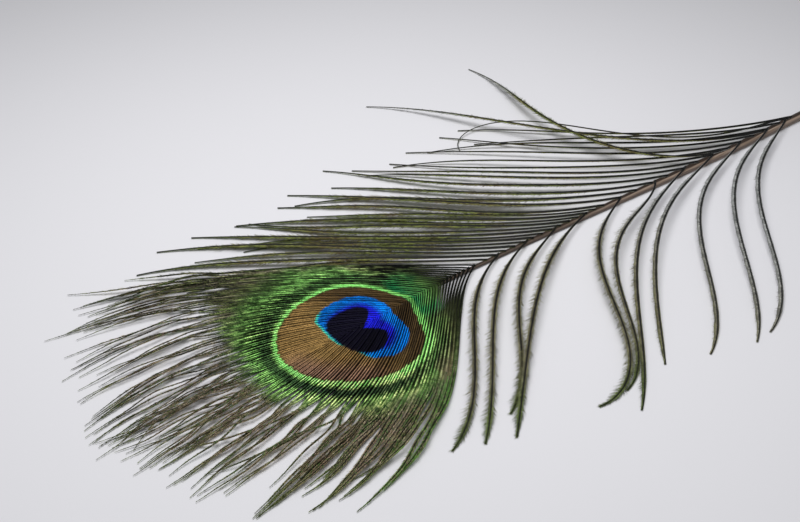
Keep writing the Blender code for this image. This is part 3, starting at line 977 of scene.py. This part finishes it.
def barbMaterial(name, group, finish):
    material, surface = newMaterial(name, finish["roughness"], finish["specular"], finish["metal"])
    tree = material.node_tree
    position = positionIn(tree)
    x, y = parted(position)[:2]
    edge, tone = attributeOf(tree, "edge"), attributeOf(tree, "tone")
    marks = placeGroup(tree, flecksGroup, {"Strand": attributeOf(tree, "strand", "Vector")})
    inputs = {"Position": position, "Reach": attributeOf(tree, "reach"), "Tone": tone, "Edge": edge, **marks}
    names = [item.name for item in group.interface.items_tree]
    pattern = placeGroup(tree, group, {k: v for k, v in inputs.items() if k in names})

    # painted shade darkens the web between its barbs, partly the dark of their overlapping barbules; a barb
    # that stands free is dark along its stem
    stem = fade(edge, finish["stemReach"], 0.2) * finish["stemGloom"]
    # how strong the painted shade between barbs is: stronger on the near side than on the far side
    depth = finish["farGapShade"] + fade(y, 3 * mm, -2 * mm) * (finish["nearGapShade"] - finish["farGapShade"])
    if "Eye" in names:  # behind the disc the dark between the barbs is wider
        edge = edge + fade(x, 9 * mm, 18 * mm) * 0.2
        offDisc = (1.0 - pattern["Disc"]) * (finish["webGapShade"] - depth)
        depth = (depth + offDisc) * pattern["Eye"]
        stem = stem * (1.0 - pattern["Eye"])
    # the painted shade between barbs lies towards each barb's edge
    gap = fade(edge, *finish["gapReach"])
    uneven = (1.0 - tone) * finish["uneven"]
    spots = (1.0 - marks["Flecks"]) * finish["flecks"]
    light = (1.0 - gap * depth) * (1.0 - stem) * (1.0 - uneven) * (1.0 - spots) * finish["boost"]
    wire(surface["Base Color"], shaded(pattern["Color"], light))
    ridged(surface, marks["Ribs"], 0.4, 0.00003)
    return material


# the far, near and web gap values set how strong the painted shade between barbs is
eyeMaterial = barbMaterial("eye_barbs", eyeGroup, {
    "farGapShade": 0.35, "nearGapShade": 0.95, "webGapShade": 0.98, "gapReach": (0.24, 0.56),
    "stemGloom": 0.97, "stemReach": 0.58, "uneven": 0.45, "flecks": 0.1, "boost": 1.75,
    "metal": 0.45, "roughness": 0.45, "specular": 0.12})
looseMaterial = barbMaterial("loose_barbs", looseGroup, {
    "farGapShade": 0.1, "nearGapShade": 0.1, "gapReach": (0.4, 0.8),
    "stemGloom": 0.99, "stemReach": 0.44, "uneven": 0.35, "flecks": 0.5, "boost": 1.75,
    "metal": 0.0, "roughness": 0.5, "specular": 0.2})

hornColours = {"light": (0.39, 0.30, 0.235), "dark": (0.23, 0.165, 0.12), "ridge": (0.030, 0.018, 0.012),
               "foot": (0.045, 0.028, 0.02)}


def shaftMaterial():
    c = hornColours
    material, surface = newMaterial("shaft_horn", 0.38, 0.3)
    tree = material.node_tree
    position = positionIn(tree)
    at = inMillimetres(position)
    x = parted(at)[0]
    streaks = noiseAt(scaled(at, (0.05, 2.2, 2.2)), 1.0, 3)
    horn = blend(fade(streaks, 0.35, 0.65), c["light"], c["dark"])
    horn = blend(fade(x, 135, 50), horn, shaded(horn, 0.36))
    # the ridge that the barbs spring from is dark, and so is the edge by the table
    wavy = attributeOf(tree, "across") + (streaks - 0.5) * 0.4
    horn = blend(fade(wavy, -0.65, -0.4), horn, c["ridge"])
    horn = blend(fade(wavy, -0.88, -0.98) * 0.7, horn, c["foot"])
    # inside the eye it lies under the barbs and takes their colours, darkened as painted shade under them
    marks = placeGroup(tree, eyeGroup, {"Position": position, "Reach": 0.0, "Tone": 0.5, "Flecks": 0.5,
                                        "Clumps": 0.5})
    horn = blend(fade(x, 34, 27), horn, shaded(marks["Color"], 0.35))
    wire(surface["Base Color"], horn)
    ridged(surface, streaks, 0.35, 0.0001)
    return material


for piece in eyePieces:
    piece.data.materials.append(eyeMaterial)
for piece in freePieces:
    piece.data.materials.append(looseMaterial)
shaft.data.materials.append(shaftMaterial())
print("materials", [m.name for m in bpy.data.materials])

for piece in [*eyePieces, *freePieces, shaft]:
    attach(piece, "root")
    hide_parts("feather")


studio = {
    "floorSize": 6,
    "floorColour": (0.70, 0.695, 0.725, 1),
    "skyColour": (0.98, 0.99, 1.0, 1),
    "skyStrength": 0.32,
    "keyPower": 0.94, "keySize": 0.3, "keyPlace": (0.03, 0.04, 0.30), "keyAim": (0.03, 0.02, 0),
}

bpy.ops.object.select_all(action="DESELECT")
bpy.ops.mesh.primitive_plane_add(size=studio["floorSize"], location=(0, 0, 0))
floor = bpy.context.object
floor.name = "floor"
floorMaterial, floorSurface = newMaterial("pale_table", 0.8, 0.2)
floorSurface["Base Color"].default_value = studio["floorColour"]
floor.data.materials.append(floorMaterial)

world = bpy.data.worlds.new("studio")
bpy.context.scene.world = world
world.use_nodes = True
sky = world.node_tree.nodes["Background"].inputs
sky["Color"].default_value = studio["skyColour"]
sky["Strength"].default_value = studio["skyStrength"]

bpy.ops.object.light_add(type="AREA", location=studio["keyPlace"])
key = bpy.context.object
key.data.shape = "DISK"
key.data.size = studio["keySize"]
key.data.energy = studio["keyPower"]
key.rotation_euler = (Vector(studio["keyAim"]) - key.location).to_track_quat("-Z", "Y").to_euler()

# heading is the way the camera looks across the table, pitch is how far down
lens = {"place": (-0.1135, -0.1603, 0.1667), "heading": (0.624, 0.782), "pitch": 36.3, "length": 45,
        "sensor": 36, "nearest": 0.005}
bpy.ops.object.camera_add(location=lens["place"])
camera = bpy.context.object
down = math.radians(lens["pitch"])
aim = Vector((lens["heading"][0] * math.cos(down), lens["heading"][1] * math.cos(down), -math.sin(down)))
camera.rotation_euler = aim.to_track_quat("-Z", "Y").to_euler()
camera.data.lens = lens["length"]
camera.data.sensor_width = lens["sensor"]
camera.data.clip_start = lens["nearest"]
bpy.context.scene.camera = camera
bpy.context.scene.view_settings.view_transform = "Standard"
